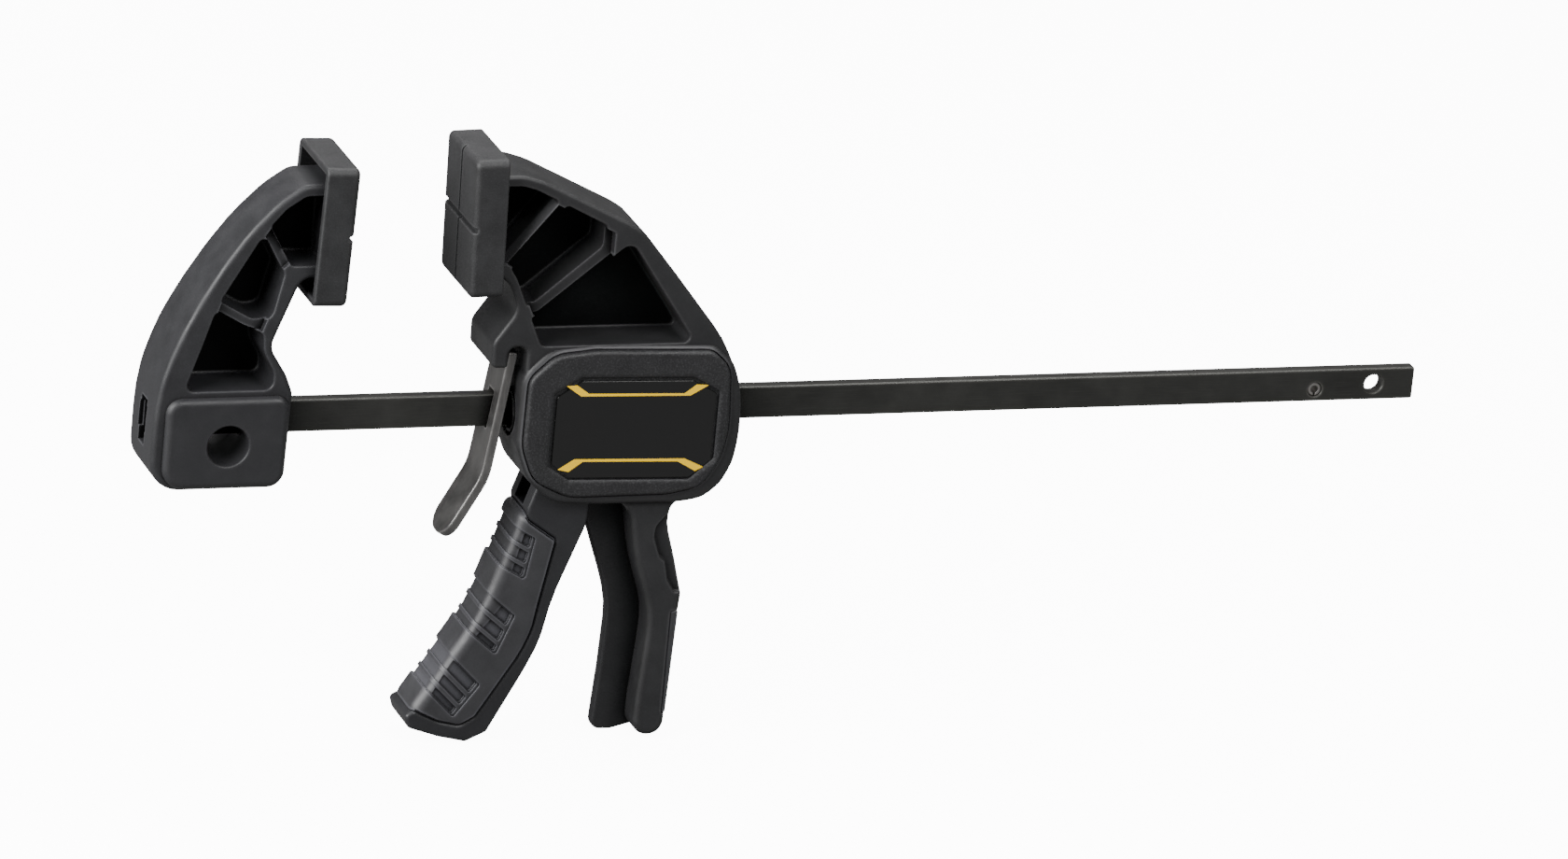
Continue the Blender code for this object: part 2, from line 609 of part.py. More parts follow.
def build_lever():
    half = LEVER_WIDTH / 2
    lever = slab("release_lever", LEVER_SIDE, -half, half, 0.5, 3)
    cut(lever, block("window", (-12, -3.5, -8.0), (8, 3.5, 8.0)))
    # round the finger end in the plane of the tab
    for side in (-1, 1):
        tab = block("corner", (-8, 0, -8), (8, 8, 8))
        keep = rod("round", (0, 0, 8), 8.0, 40, "X", 32)
        cut(tab, keep)
        for vertex in tab.data.vertices:
            vertex.co.y = side * (vertex.co.y + (half - 8.0) * MM + 0.4e-4)
        turned(tab, (0, 0), 28.6)
        for vertex in tab.data.vertices:
            vertex.co.x += -21.65 * MM
            vertex.co.z += -53.55 * MM
        work = bmesh.new()
        work.from_mesh(tab.data)
        bmesh.ops.recalc_face_normals(work, faces=work.faces)
        work.to_mesh(tab.data)
        work.free()
        cut(lever, tab)
    return finish(lever, STEEL_BARE, (LEVER_TOP[0], 0, LEVER_TOP[1]))


# ---------------------------------------------------------------- assembly
build_bar()
build_stop()
build_jaw_pin()
build_fixed_jaw()
build_pad("fixed_pad", FIXED_FACE_X, FIXED_PAD_Z, 1)
build_body()
build_cover("cover_front", -1)
build_cover("cover_rear", 1)
build_badge()
for screw_number, (screw_x, screw_z) in enumerate(SCREWS, 1):
    build_screw(screw_number, screw_x, screw_z)
build_pad("moving_pad", MOVING_FACE_X, MOVING_PAD_Z, -1)
build_insert()
build_trigger()
build_grip()
build_pivot()
build_drive_plate("drive_plate_a", 34.0)
build_drive_plate("drive_plate_b", 37.4)
coil("drive_spring", 41.8, 88.6, 7, 9.5, 0.8, SPRING_STEEL)
build_lever()
coil("brake_spring", 1.6, 12.8, 3, 9.5, 0.7, SPRING_STEEL)
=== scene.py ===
import math

import bmesh
import bpy
from mathutils import Matrix, Vector


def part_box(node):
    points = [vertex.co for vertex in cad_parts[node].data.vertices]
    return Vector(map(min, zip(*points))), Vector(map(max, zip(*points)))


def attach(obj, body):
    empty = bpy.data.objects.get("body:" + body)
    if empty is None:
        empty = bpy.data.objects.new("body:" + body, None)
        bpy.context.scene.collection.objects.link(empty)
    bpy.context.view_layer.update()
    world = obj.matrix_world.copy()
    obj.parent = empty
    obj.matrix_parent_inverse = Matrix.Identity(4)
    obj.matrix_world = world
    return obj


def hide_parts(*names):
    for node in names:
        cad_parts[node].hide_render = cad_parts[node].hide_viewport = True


# Trigger bar clamp. Outlines are drawn in millimetres with X along the bar, Z up from the
# bar's axis and Y across, then shifted to where the frame's bar lies.
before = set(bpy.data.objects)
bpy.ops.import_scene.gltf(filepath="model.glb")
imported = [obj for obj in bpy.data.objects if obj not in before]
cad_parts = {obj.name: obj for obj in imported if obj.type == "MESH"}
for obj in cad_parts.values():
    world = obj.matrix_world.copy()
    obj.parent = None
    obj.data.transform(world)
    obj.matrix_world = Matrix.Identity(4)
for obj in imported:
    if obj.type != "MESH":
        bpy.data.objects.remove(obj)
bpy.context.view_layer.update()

MM = 0.001
BAR_START = 0.146  # metres from the bar's left end to the drawing's origin
STRAIGHT = math.radians(178.5)  # corners flatter than this get no arc
ARC_SHARE = 0.49  # most of an edge that one corner arc may use
MITRE_LIMIT = 0.35
LEAST_RADIUS = 0.06
WELD = 2e-7  # metres
SLICE_SLACK = 1e-7  # metres
SHARP_ANGLE = math.radians(33.0)
NORMAL_WEIGHT = 80

bar_low, bar_high = (Vector(corner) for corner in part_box("bar"))
SHIFT = Vector((bar_low.x + BAR_START, 0.0, (bar_low.z + bar_high.z) / 2.0))


# ---------------------------------------------------------------- outlines
def winding(corners):
    """Return +1 for a counter-clockwise outline and -1 for a clockwise one."""
    area = sum(corners[i - 1][0] * corners[i][1] - corners[i][0] * corners[i - 1][1]
               for i in range(len(corners)))
    return 1.0 if area > 0 else -1.0


def rounded(corners, steps):
    """Turn (u, v, radius) corners into outline points with an arc at each corner."""
    count = len(corners)
    points = []
    for index in range(count):
        here = Vector(corners[index][:2])
        back = Vector(corners[index - 1][:2]) - here
        ahead = Vector(corners[(index + 1) % count][:2]) - here
        turn = back.angle(ahead)
        radius = corners[index][2]
        if radius <= 0.0 or turn > STRAIGHT:
            points.append(here)
            continue
        reach = radius / math.tan(turn / 2.0)
        limit = ARC_SHARE * min(back.length, ahead.length)
        if reach > limit:
            reach = limit
            radius = reach * math.tan(turn / 2.0)
        start = here + back.normalized() * reach
        finish = here + ahead.normalized() * reach
        middle = here + (back.normalized() + ahead.normalized()).normalized() * (
            radius / math.sin(turn / 2.0))
        sweep = (start - middle).angle_signed(finish - middle)
        pieces = max(1, int(math.ceil(abs(sweep) / math.radians(90.0) * steps - 0.01)))
        arm = start - middle
        for piece in range(pieces + 1):
            spin = -sweep * piece / pieces
            points.append(middle + Vector((
                arm.x * math.cos(spin) - arm.y * math.sin(spin),
                arm.x * math.sin(spin) + arm.y * math.cos(spin))))
    return points


def offset(corners, amount):
    """Grow an outline by amount, keeping its corner arcs concentric."""
    if amount == 0.0:
        return list(corners)
    count = len(corners)
    sign = winding(corners)
    result = []
    for index in range(count):
        here = Vector(corners[index][:2])
        before = (here - Vector(corners[index - 1][:2])).normalized()
        after = (Vector(corners[(index + 1) % count][:2]) - here).normalized()
        normal_a = Vector((before.y, -before.x)) * sign
        normal_b = Vector((after.y, -after.x)) * sign
        middle = (normal_a + normal_b).normalized()
        moved = here + middle * (amount / max(MITRE_LIMIT, middle.dot(normal_a)))
        radius = corners[index][2]
        if radius > 0.0:
            outward = (before.x * after.y - before.y * after.x) * sign > 0
            radius = max(LEAST_RADIUS, radius + (amount if outward else -amount))
        result.append((moved.x, moved.y, radius))
    return result


# ---------------------------------------------------------------- bodies
def quarter(count):
    """Angles that divide a quarter turn into count steps."""
    return [math.radians(90.0) * step / count for step in range(count + 1)]


def plump(low, high, edge, count=4, far=None):
    """Rings of a slab from low to high whose two rims are rounded."""
    far = edge if far is None else far
    first = [(low + edge * (1 - math.cos(a)), -edge * (1 - math.sin(a))) for a in quarter(count)]
    last = [(high - far * (1 - math.cos(a)), -far * (1 - math.sin(a))) for a in quarter(count)]
    return first + last[::-1]


def pocket(floor, mouth, floor_edge, lip, count=3):
    """Rings of a cutter with a rounded floor and a mouth that rounds over the face."""
    way = 1.0 if mouth > floor else -1.0
    rings = [(floor + way * floor_edge * (1 - math.cos(a)), -floor_edge * (1 - math.sin(a)))
             for a in quarter(count)]
    if lip > 0.0:
        rings += [(mouth - way * lip * (1 - math.sin(a)), lip * (1 - math.cos(a)))
                  for a in quarter(count)]
        rings[-1] = (mouth + way * 0.015, lip)
    rings.append((mouth + way * 4.0, lip))
    return rings


def close(work, name):
    """Turn an edit mesh into a named object in the scene."""
    bmesh.ops.recalc_face_normals(work, faces=work.faces)
    mesh = bpy.data.meshes.new(name)
    work.to_mesh(mesh)
    work.free()
    item = bpy.data.objects.new(name, mesh)
    bpy.context.scene.collection.objects.link(item)
    return item


def skin(work, loops):
    """Join matching loops of vertices into one closed skin."""
    for near, far in zip(loops, loops[1:]):
        for index in range(len(near)):
            after = (index + 1) % len(near)
            work.faces.new((near[index], near[after], far[after], far[index]))
    work.faces.new(loops[0][::-1])
    work.faces.new(loops[-1])


def side_view(u, v, w):
    """Outline seen from the front, with w across the clamp."""
    return (u, w, v)


def end_view(u, v, w):
    """Outline seen along the bar, with w along it."""
    return (w, u, v)


def top_view(u, v, w):
    """Outline seen from above, with w upwards."""
    return (u, v, w)


def loft(name, corners, rings, steps=5, place=side_view):
    """Closed body through one outline; each ring is (distance, growth of the outline)."""
    work = bmesh.new()
    loops = []
    for distance, growth in rings:
        outline = rounded(offset(corners, growth), steps)
        loops.append([work.verts.new([value * MM for value in place(u, v, distance)])
                      for u, v in outline])
    skin(work, loops)
    return close(work, name)


def spun(name, centre, profile, sides=48, place=side_view):
    """Closed round body about (u, v), through (distance, radius) pairs."""
    work = bmesh.new()
    loops = []
    for distance, radius in profile:
        loops.append([work.verts.new([value * MM for value in place(
            centre[0] + radius * math.cos(2 * math.pi * turn / sides),
            centre[1] + radius * math.sin(2 * math.pi * turn / sides), distance)])
            for turn in range(sides)])
    skin(work, loops)
    return close(work, name)


def slab(name, corners, low, high, steps=4, place=side_view):
    """Straight-sided body of one outline between two distances."""
    return loft(name, corners, [(low, 0.0), (high, 0.0)], steps, place)


def brick(name, low, high, radius=0.0):
    """Box between two corners; radius rounds its four cross-clamp edges."""
    return slab(name, [(low[0], low[2], radius), (high[0], low[2], radius),
                       (high[0], high[2], radius), (low[0], high[2], radius)],
                low[1], high[1], 3)


def combine(base, others, operation):
    """Apply one exact Boolean with each of the other bodies in turn."""
    for other in others:
        step = base.modifiers.new("step", "BOOLEAN")
        step.operation = operation
        step.solver = "EXACT"
        step.object = other
        graph = bpy.context.evaluated_depsgraph_get()
        mesh = bpy.data.meshes.new_from_object(base.evaluated_get(graph))
        base.modifiers.clear()
        old, base.data = base.data, mesh
        bpy.data.meshes.remove(old)
        bpy.data.objects.remove(other, do_unlink=True)
    return base


def cut(base, *others):
    return combine(base, others, "DIFFERENCE")


def join(base, *others):
    return combine(base, others, "UNION")


def sliced(item, levels):
    """Add edge loops where level planes at the given heights cross the body."""
    work = bmesh.new()
    work.from_mesh(item.data)
    way = Vector((0.0, 0.0, 1.0))
    for level in levels:
        bmesh.ops.bisect_plane(work, geom=work.verts[:] + work.edges[:] + work.faces[:],
                               plane_co=way * level * MM, plane_no=way,
                               dist=SLICE_SLACK)
    work.to_mesh(item.data)
    work.free()
    return item


def turned(item, pivot, degrees):
    """Turn a body about a cross-clamp axis through (x, z), positive as seen from +Y."""
    about = Vector((pivot[0] * MM, 0.0, pivot[1] * MM))
    spin = Matrix.Translation(about) @ Matrix.Rotation(math.radians(degrees), 4, "Y")
    item.data.transform(spin @ Matrix.Translation(-about))
    return item


def put(item, finish, body, slot, *nodes):
    """Shift a body into the frame, give it its finish, hang it on its body's empty and hide its
    CAD nodes.
    """
    item.data.transform(Matrix.Translation(SHIFT))
    item.data.materials.clear()
    item.data.materials.append(finish)
    work = bmesh.new()
    work.from_mesh(item.data)
    bmesh.ops.remove_doubles(work, verts=work.verts, dist=WELD)
    bmesh.ops.dissolve_degenerate(work, edges=work.edges, dist=WELD)
    work.to_mesh(item.data)
    work.free()
    item.data.shade_smooth()
    item.data.set_sharp_from_angle(angle=SHARP_ANGLE)
    even = item.modifiers.new("even_faces", "WEIGHTED_NORMAL")
    even.keep_sharp = True
    even.weight = NORMAL_WEIGHT
    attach(item, body)
    if nodes:
        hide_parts(*nodes)
    return item


# ---------------------------------------------------------------- finishes
COAT_ROUGHNESS = 0.12
EDGE_REACH = 1.2  # millimetres in from an edge that is lightened, partly as wear and partly as painted highlight
AO_SAMPLES = 6
BEVEL_SAMPLES = 4
BUMP_STRENGTH = 0.6


def surface(name, colour, roughness, metallic=0.0, grain=0.35, depth=0.03, mottle=0.12,
            patch=12.0, edge=0.0, soften=0.3, stretch=None, specular=0.5, coat=0.0,
            speck=0.0, rough_swing=0.08, recess=1.0, nook_size=45.0, alone=True,
            glow=0.0):
    """A finish with fine grain, slow mottling, edges lightened partly as wear and partly as
    painted highlight, and painted shade in recesses.
    """
    mat = bpy.data.materials.new(name)
    mat.use_nodes = True
    mat.diffuse_color = (*colour, 1.0)
    tree = mat.node_tree
    shader = tree.nodes["Principled BSDF"]
    shader.inputs["Base Color"].default_value = (*colour, 1.0)
    shader.inputs["Roughness"].default_value = roughness
    shader.inputs["Metallic"].default_value = metallic
    shader.inputs["Specular IOR Level"].default_value = specular
    shader.inputs["Coat Weight"].default_value = coat
    shader.inputs["Coat Roughness"].default_value = COAT_ROUGHNESS
    # glow makes the finish emit its own colour: painted light, used only for the yellow print
    shader.inputs["Emission Color"].default_value = (*colour, 1.0)
    shader.inputs["Emission Strength"].default_value = glow

    def add(kind, **values):
        made = tree.nodes.new(kind)
        for key, value in values.items():
            setattr(made, key, value)
        return made

    def wire(source, target):
        tree.links.new(source, target)

    def noise(size, detail, vector):
        made = add("ShaderNodeTexNoise")
        made.inputs["Scale"].default_value = 1.0 / (size * MM)
        made.inputs["Detail"].default_value = detail
        made.inputs["Roughness"].default_value = 0.6
        wire(vector, made.inputs["Vector"])
        return made.outputs["Fac"]

    def span(source, low, high, to_low, to_high):
        made = add("ShaderNodeMapRange")
        for key, value in (("From Min", low), ("From Max", high),
                           ("To Min", to_low), ("To Max", to_high)):
            made.inputs[key].default_value = value
        wire(source, made.inputs["Value"])
        return made.outputs["Result"]

    place = add("ShaderNodeTexCoord").outputs["Object"]
    fine_place = place
    if stretch:
        pull = add("ShaderNodeMapping")
        pull.inputs["Scale"].default_value = stretch
        wire(place, pull.inputs["Vector"])
        fine_place = pull.outputs["Vector"]
    fine = noise(grain, 3.0, fine_place)
    slow = noise(patch, 3.0, place)

    blend = add("ShaderNodeMix", data_type="RGBA")
    blend.inputs[6].default_value = (*[c * (1 - mottle) for c in colour], 1.0)
    blend.inputs[7].default_value = (*[c * (1 + mottle) for c in colour], 1.0)
    wire(span(slow, 0.3, 0.7, 0.0, 1.0), blend.inputs[0])
    tint = blend.outputs[2]
    if speck > 0.0:
        dots = add("ShaderNodeMix", data_type="RGBA")
        dots.inputs[7].default_value = (*[min(1.0, c * (1 + speck)) for c in colour], 1.0)
        wire(span(fine, 0.50, 0.74, 0.0, 1.0), dots.inputs[0])
        wire(tint, dots.inputs[6])
        tint = dots.outputs[2]
    # painted highlight and wear: convex edges, found by a short inside occlusion test, get a
    # lighter colour, mostly for the highlight their fillets would catch and partly for wear
    if edge > 0.0:
        edge_wear_and_highlight = add("ShaderNodeAmbientOcclusion", samples=AO_SAMPLES, inside=True,
                   only_local=True)
        edge_wear_and_highlight.inputs["Distance"].default_value = EDGE_REACH * MM
        rim = add("ShaderNodeMix", data_type="RGBA")
        rim.inputs[7].default_value = (*[min(1.0, c * (1 + edge)) for c in colour], 1.0)
        wire(span(edge_wear_and_highlight.outputs["AO"], 0.90, 0.55, 0.0, 1.0), rim.inputs[0])
        wire(tint, rim.inputs[6])
        tint = rim.outputs[2]
    # painted shade: occlusion scales the colour down in pockets, most on pocket floors that face
    # across the clamp
    if recess < 1.0:
        nook = add("ShaderNodeAmbientOcclusion", samples=AO_SAMPLES, only_local=alone)
        nook.inputs["Distance"].default_value = nook_size * MM
        facing = add("ShaderNodeSeparateXYZ")
        wire(add("ShaderNodeNewGeometry").outputs["Normal"], facing.inputs["Vector"])
        across = add("ShaderNodeMath", operation="ABSOLUTE")
        wire(facing.outputs["Y"], across.inputs[0])
        painted_recess_shade = add("ShaderNodeMix", data_type="FLOAT")
        wire(span(across.outputs[0], 0.75, 0.95, 0.0, 1.0), painted_recess_shade.inputs[0])
        wire(span(nook.outputs["AO"], 0.05, 0.35, 0.7, 1.0), painted_recess_shade.inputs[2])
        wire(span(nook.outputs["AO"], 0.60, 0.90, recess, 1.0), painted_recess_shade.inputs[3])
        shade = add("ShaderNodeVectorMath", operation="SCALE")
        wire(tint, shade.inputs[0])
        wire(painted_recess_shade.outputs[0], shade.inputs["Scale"])
        # the same painted shade also dims the specular level, so pocket floors lose their
        # reflections
        painted_shade_specular = add("ShaderNodeMath", operation="MULTIPLY")
        painted_shade_specular.inputs[1].default_value = specular
        wire(painted_recess_shade.outputs[0], painted_shade_specular.inputs[0])
        wire(painted_shade_specular.outputs[0], shader.inputs["Specular IOR Level"])
        tint = shade.outputs[0]
    soft = None
    if soften > 0.0:
        soft = add("ShaderNodeBevel", samples=BEVEL_SAMPLES)
        soft.inputs["Radius"].default_value = soften * MM
    wire(tint, shader.inputs["Base Color"])
    wire(span(slow, 0.3, 0.7, roughness - rough_swing, roughness + rough_swing),
         shader.inputs["Roughness"])
    bump = add("ShaderNodeBump")
    bump.inputs["Strength"].default_value = BUMP_STRENGTH
    bump.inputs["Distance"].default_value = depth * MM
    wire(fine, bump.inputs["Height"])
    if soft:
        wire(soft.outputs["Normal"], bump.inputs["Normal"])
    wire(bump.outputs["Normal"], shader.inputs["Normal"])
    return mat


# recess below 1 paints shade into the pockets of these finishes; edge lightens their edges,
# partly wear and partly painted highlight
NYLON = surface("charcoal_nylon", (0.018, 0.018, 0.019), 0.50, grain=0.28, depth=0.06,
                edge=2.6, soften=0.55, speck=0.7, recess=0.16)
JAW = surface("charcoal_jaw_nylon", (0.020, 0.020, 0.022), 0.50, grain=0.28, depth=0.06,
              edge=2.4, soften=0.55, speck=0.7, recess=0.16)
# speck lightens grains of the cover, partly its own tone and partly painted glints for the
# sparkle of the textured grain
COVER = surface("textured_nylon", (0.014, 0.014, 0.015), 0.50, grain=0.7, depth=0.35,
                edge=2.6, soften=0.6, speck=2.6, specular=0.55)
SMOOTH = surface("satin_nylon", (0.019, 0.019, 0.021), 0.42, grain=0.3, depth=0.02,
                 edge=2.4, soften=0.5, speck=0.3, recess=0.3)
PAD = surface("pad_rubber", (0.019, 0.019, 0.020), 0.60, grain=0.6, depth=0.07,
              edge=2.2, soften=0.6, speck=0.9, mottle=0.22, patch=9.0, recess=0.35)
GRIP = surface("grip_rubber", (0.019, 0.019, 0.022), 0.54, grain=0.4, depth=0.03,
               edge=2.8, soften=0.4, speck=0.4, mottle=0.25, specular=1.0,
               rough_swing=0.05, recess=0.25, nook_size=6.0)
# alone=False lets the bar's painted shade darken it also where other parts close round it
BAR = surface("blackened_bar", (0.038, 0.038, 0.035), 0.38, metallic=0.45, grain=0.3,
              depth=0.02, edge=2.6, soften=0.5, stretch=(0.02, 1.0, 1.0), speck=0.35,
              mottle=0.2, patch=20.0, recess=0.1, alone=False)
PLATE = surface("brushed_plate", (0.21, 0.205, 0.20), 0.40, metallic=0.9, grain=0.35,
                depth=0.02, edge=1.6, soften=0.5, stretch=(0.25, 1.0, 0.04), speck=0.3,
                mottle=0.2, patch=10.0)
ZINC = surface("zinc", (0.42, 0.41, 0.39), 0.34, metallic=1.0, grain=0.3, depth=0.02,
               edge=0.3, soften=0.2, mottle=0.08, patch=3.0)
SPRING = surface("spring_wire", (0.06, 0.06, 0.06), 0.40, metallic=0.9, grain=0.3,
                 depth=0.01, soften=0.0)
GLOSS = surface("gloss_black", (0.004, 0.004, 0.004), 0.16, grain=2.0, depth=0.004,
                soften=0.12, mottle=0.05, coat=0.4, rough_swing=0.02)
# glow=0.1 makes the yellow print emit light faintly, painted light that keeps it bright and
# saturated
YELLOW = surface("yellow_print", (1.0, 0.62, 0.0), 0.5, grain=0.8, depth=0.004,
                 soften=0.0, mottle=0.02, rough_swing=0.03, glow=0.1)


# ---------------------------------------------------------------- bar and pins
STOP = (359.4, -1.8)


def make_bar():
    side = [(-146, -7, 0.9), (404, -7, 0.9), (404, 7, 0.9), (-146, 7, 0.9)]
    bar = loft("bar_detail", side, plump(-3, 3, 0.9, 4), 4)
    cut(bar,
        spun("end_hole", (385.8, 0), [(-9, 4.5), (-3.01, 4.5), (-2.5, 4.0), (2.5, 4.0),
                                      (3.01, 4.5), (9, 4.5)]),
        spun("stop_hole", STOP, [(-9, 3.35), (-3.01, 3.35), (-2.8, 3.15), (9, 3.15)]))
    put(bar, BAR, "bar", "bar_steel", "bar")
    pin = spun("stop_pin_detail", STOP, [
        (-2.2, 1.7), (-2.2, 2.7), (-1.8, 3.1), (7.5, 3.1), (8.0, 2.6), (8.0, 1.7)], 40)
    cut(pin, spun("bore", STOP, [(-5, 1.7), (12, 1.7)], 32),
        brick("slit", (359.0, -6, -8), (359.8, 12, -1.8)))
    put(pin, ZINC, "bar", "pin_steel", "stop_pin")


# ---------------------------------------------------------------- fixed jaw
FIXED_OUTER = [
    (-80.4, 103.2, 1.5), (-95.2, 103.2, 9), (-105.4, 96, 24), (-117, 84, 50),
    (-127, 70, 60), (-136, 55, 60), (-143, 41.2, 60), (-148.4, 27, 60),
    (-151.4, 14, 50), (-152, 0, 60), (-152, -26, 15), (-95, -26, 7),
    (-94.2, 15, 4), (-97.2, 22.5, 12), (-105.2, 34.8, 8), (-93.6, 64.0, 7), (-80.4, 64.0, 1.5)]

# the webs of both jaws lie behind the middle, so the front pockets are the deep ones
WEB_FRONT, WEB_REAR = 5.2, 8.6
JAW_HALF = 16.4
# above this height the fixed jaw narrows towards its pad
TAPER_FROM, TAPER_HALF, TAPER_SLOPE = 38.0, 16.5, 0.0542

FIXED_POCKETS = [
    [(-84.5, 98.6, 1.2), (-94, 98.6, 6), (-102, 93.4, 8), (-108.4, 86.2, 2.5),
     (-98.6, 69.3, 2.5), (-84.5, 69.3, 1.2)],
    [(-110.8, 83.4, 2.5), (-101.2, 66.5, 4), (-105.6, 47.2, 5), (-113, 46.4, 6),
     (-128, 54.6, 2.5)],
    [(-129.2, 51.4, 2.2), (-116, 44, 12), (-108.6, 41.6, 4), (-107.8, 33, 7),
     (-102.8, 24.2, 7), (-102.8, 16.8, 4), (-140.2, 16.8, 3)]]

FIXED_RIBS = [
    [(-108.2, 85.7, 0), (-99.3, 70.6, 0), (-102.2, 68.0, 0), (-110.6, 82.3, 0)],
    [(-127.2, 54.5, 0), (-113, 46.8, 3), (-107.4, 47.0, 0), (-109.2, 42.0, 0),
     (-116, 43.7, 6), (-128.6, 50.4, 0)]]


def make_fixed_jaw():
    jaw = loft("fixed_jaw_detail", FIXED_OUTER, plump(-JAW_HALF, JAW_HALF, 2.2, 5), 7)
    boss = [(-147.4, 14.2, 6.5), (-147.4, -25.0, 9.5), (-95.5, -25.0, 7), (-95.5, 14.2, 5.5)]
    join(jaw, loft("boss", boss, plump(-19, 19, 3.0, 6), 8))
    for outline in FIXED_POCKETS:
        cut(jaw, loft("pocket", outline, pocket(WEB_FRONT, -JAW_HALF, 1.6, 0.7), 6),
            loft("pocket", outline, pocket(WEB_REAR, JAW_HALF, 1.6, 0.7), 6))
    for side in (-1, 1):
        for outline in FIXED_RIBS:
            low, high = sorted((side * 13.4, side * 20.0))
            cut(jaw, slab("rib_top", outline, low, high, 4))
    sliced(jaw, [TAPER_FROM])
    for vertex in jaw.data.vertices:
        rise = vertex.co.z / MM - TAPER_FROM
        if rise > 0.0:
            vertex.co.y *= min(1.0, (TAPER_HALF - rise * TAPER_SLOPE) / JAW_HALF)
    cut(jaw,
        brick("channel", (-146.6, -3.2, -7.2), (-90, 3.2, 7.2)),
        brick("rear_slot", (-160, -4.0, -10.2), (-146.0, 4.0, 9.2), 0.4),
        brick("rear_step", (-160, -4.6, -4.6), (-150.2, 5.4, 6.6), 0.4),
        spun("hang_hole", (-120.6, -6.3), [
            (-25, 9.5), (-19.02, 9.5), (-18.7, 9.0), (-18.2, 8.7), (5.8, 8.7),
            (6.4, 8.4), (18.2, 8.4), (18.7, 8.7), (19.02, 9.2), (25, 9.2)], 56),
        spun("pin_bore", (-138.0, 0), [(-9.3, 2.6), (17.3, 2.6)], 32))
    put(jaw, JAW, "bar", "jaw_nylon", "fixed_jaw")


# ---------------------------------------------------------------- pads
PAD_HALF_WIDTH, PAD_HALF_HEIGHT, PAD_DEPTH = 21.0, 29.7, 14.2
PAD_TILT = 1.6  # degrees


def make_pad(node, body, face, middle, side):
    """Cup-shaped pad; side is +1 when the clamping face looks towards +X."""
    low, high = middle - PAD_HALF_HEIGHT, middle + PAD_HALF_HEIGHT
    outline = [(-PAD_HALF_WIDTH, low, 3.4), (PAD_HALF_WIDTH, low, 3.4),
               (PAD_HALF_WIDTH, high, 3.4), (-PAD_HALF_WIDTH, high, 3.4)]
    rings = plump(0.0, PAD_DEPTH, 2.4, 5, 0.9)
    pad = loft(node + "_detail", outline, [(face - side * d, g) for d, g in rings], 6, end_view)
    inner = offset(outline, -3.3)
    rings = pocket(4.6, PAD_DEPTH, 1.6, 0.5)
    cut(pad, loft("cup", inner, [(face - side * d, g) for d, g in rings], 5, end_view))
    groove = [(face - side * 2.0, middle - 1.0, 0.2), (face + side * 1.2, middle - 1.9, 0),
              (face + side * 1.2, middle + 1.9, 0), (face - side * 2.0, middle + 1.0, 0.2)]
    cut(pad, slab("groove", groove, -30, 30, 3))
    line = [(face - side * 2.0, -0.4, 0.2), (face + side * 0.6, -1.0, 0),
            (face + side * 0.6, 1.0, 0), (face - side * 2.0, 0.4, 0.2)]
    cut(pad, slab("line", line, low - 5, high + 5, 3, top_view))
    turned(pad, (face, middle), side * PAD_TILT)
    put(pad, PAD, body, "pad_rubber", node)


# ---------------------------------------------------------------- sliding body
BODY_OUTER = [
    (4.6, 8, 1), (16, -20, 5), (86, -20, 8), (97.6, -6, 20), (98.7, 3, 30),
    (97.2, 16, 40), (89.2, 33.2, 60), (66.0, 62.0, 90), (50.2, 81.0, 14), (43.6, 84.9, 14),
    (6, 103.4, 24), (-3, 106.2, 12), (-19.4, 106.2, 1.5), (-19.4, 63.5, 1.5),
    (-10.5, 63.5, 4), (-5, 58.8, 10), (-1.0, 48.0, 8), (-10.5, 34.2, 6), (-10.3, 23.0, 2.6),
    (-3.3, 23.0, 1.2), (-3.3, 31.9, 3.4), (4.6, 31.9, 3.4)]

HOUSING = [
    (3.2, 20, 12), (14, 30.6, 12), (38, 32.2, 20), (86, 31.0, 8), (94.6, 22.5, 10),
    (98.0, 13, 30), (99.4, 3, 50), (99.6, -9, 40), (98.0, -21, 20), (93.4, -30.2, 12),
    (86, -36.4, 12), (76, -38.0, 30), (42, -37.8, 60), (20.8, -36.6, 16), (8.8, -26.0, 16),
    (3.2, -11, 14)]

ARM_POCKETS = [
    [(-14.6, 101.8, 1), (-3.5, 101.8, 8), (2.6, 100.0, 8), (12.8, 94.9, 1.6),
     (-8.3, 68.4, 1.4), (-14.6, 68.4, 1)],
    [(16.1, 93.2, 2), (34.4, 83.9, 3), (34.4, 73.6, 4), (6.6, 49.9, 3.5), (2.4, 50.2, 1.6),
     (-2.4, 61.4, 6), (-5.8, 66.6, 2)],
    [(45.5, 76.9, 4.5), (71.2, 39.8, 8), (76.0, 32.2, 5), (10.2, 32.2, 3), (4.7, 45.1, 1.6),
     (8.8, 46.3, 3)]]

# (outline, cut back from the front, cut back from the rear)
ARM_RIBS = [
    ([(-5.4, 66.9, 0), (15.4, 92.0, 0), (12.2, 93.5, 0), (-7.9, 68.6, 0)], 8.6, 12.2),
    ([(5.6, 45.5, 0), (8.9, 45.9, 3), (37.9, 70.2, 0.8), (37.9, 80.9, 0), (34.1, 82.7, 0),
      (34.1, 73.8, 3), (6.5, 50.3, 3), (3.6, 50.2, 0)], 11.6, 12.8)]

COVER_OUTLINE = [
    (5.4, 19, 9), (16.5, 29.4, 12), (34, 31, 10), (84, 29.6, 8), (92.6, 22, 12),
    (94.4, -6, 40), (91.6, -19, 20), (84.4, -30.6, 12), (70, -33.6, 20), (27, -33.8, 16),
    (11, -26.2, 14), (5, -11, 20)]

